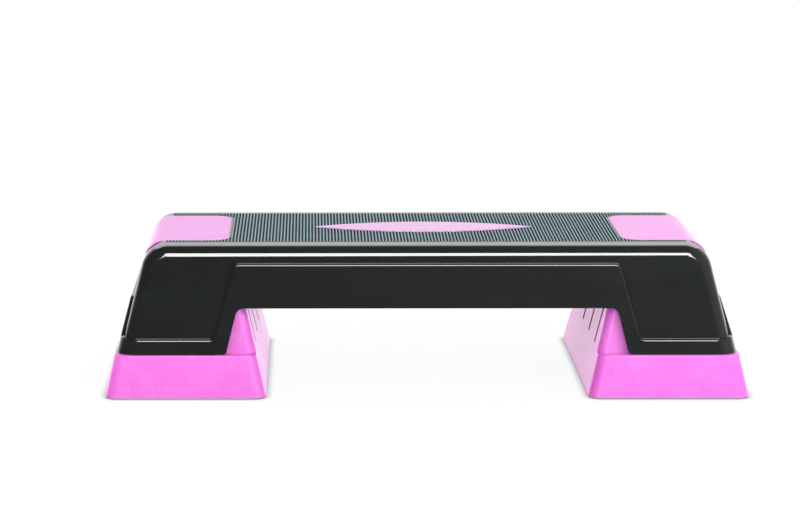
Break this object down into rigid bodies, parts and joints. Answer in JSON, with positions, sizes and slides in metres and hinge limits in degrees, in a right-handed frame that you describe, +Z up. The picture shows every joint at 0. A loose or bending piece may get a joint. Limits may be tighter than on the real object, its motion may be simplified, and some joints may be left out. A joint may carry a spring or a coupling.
{
  "type": "aerobic step platform",
  "caption": "Low hollow step platform with a ribbed tread mat, smooth end pads and a stepped skirt, standing on lift-off riser blocks under both ends.",
  "frame": {"origin": "on the floor under the middle of the platform", "axes": "+X along the length of the platform, +Y from the front long side to the back one, +Z up"},
  "size_m": [0.7332, 0.3022, 0.1709],
  "materials": {
    "deck_plastic": "glossy moulded",
    "tread_rubber": "ribbed anti-slip",
    "pad_plastic": "satin",
    "badge_plastic": "satin",
    "riser_plastic": "fine spark texture",
    "foot_rubber": "matt"
  },
  "bodies": {
    "deck": {"deck_shell": "deck_plastic", "tread_mat": "tread_rubber", "left_end_pad": "pad_plastic", "right_end_pad": "pad_plastic", "centre_badge": "badge_plastic", "left_front_strip": "foot_rubber", "left_back_strip": "foot_rubber", "left_end_strip": "foot_rubber", "right_front_strip": "foot_rubber", "right_back_strip": "foot_rubber", "right_end_strip": "foot_rubber"},
    "left_riser": {"left_riser": "riser_plastic", "left_inner_front_foot": "foot_rubber", "left_inner_back_foot": "foot_rubber", "left_outer_front_foot": "foot_rubber", "left_outer_back_foot": "foot_rubber"},
    "right_riser": {"right_riser": "riser_plastic", "right_inner_front_foot": "foot_rubber", "right_inner_back_foot": "foot_rubber", "right_outer_front_foot": "foot_rubber", "right_outer_back_foot": "foot_rubber"}
  },
  "joints": [
    {"name": "left_riser_lift", "type": "slide", "parent": "deck", "child": "left_riser", "axis": [0, 0, -1], "range_m": [0, 0.08]},
    {"name": "right_riser_lift", "type": "slide", "parent": "deck", "child": "right_riser", "axis": [0, 0, -1], "range_m": [0, 0.08]}
  ]
}
